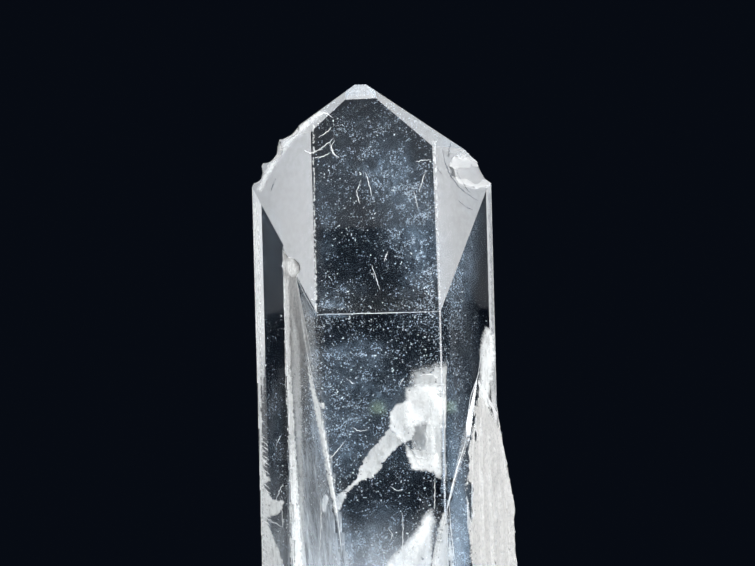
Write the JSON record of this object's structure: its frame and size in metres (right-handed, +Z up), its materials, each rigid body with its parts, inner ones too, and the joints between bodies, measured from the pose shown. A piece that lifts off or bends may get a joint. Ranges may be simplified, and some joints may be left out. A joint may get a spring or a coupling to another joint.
{
  "type": "quartz crystal",
  "caption": "Clear quartz point with one broad tip face, a chipped shoulder and a white splintery side growth, standing on a flat cut foot.",
  "frame": {"origin": "on the flat cut foot, under the middle of the crystal's outline", "axes": "+Z up along the crystal, +X to the right, and the broad front face towards -Y"},
  "size_m": [0.0278, 0.021, 0.0684],
  "materials": {
    "clear_quartz": "clear natural crystal faces, IOR 1.544, with white veils inside and a rough white side growth"
  },
  "bodies": {
    "root": {"quartz_crystal": "clear_quartz"}
  },
  "joints": []
}
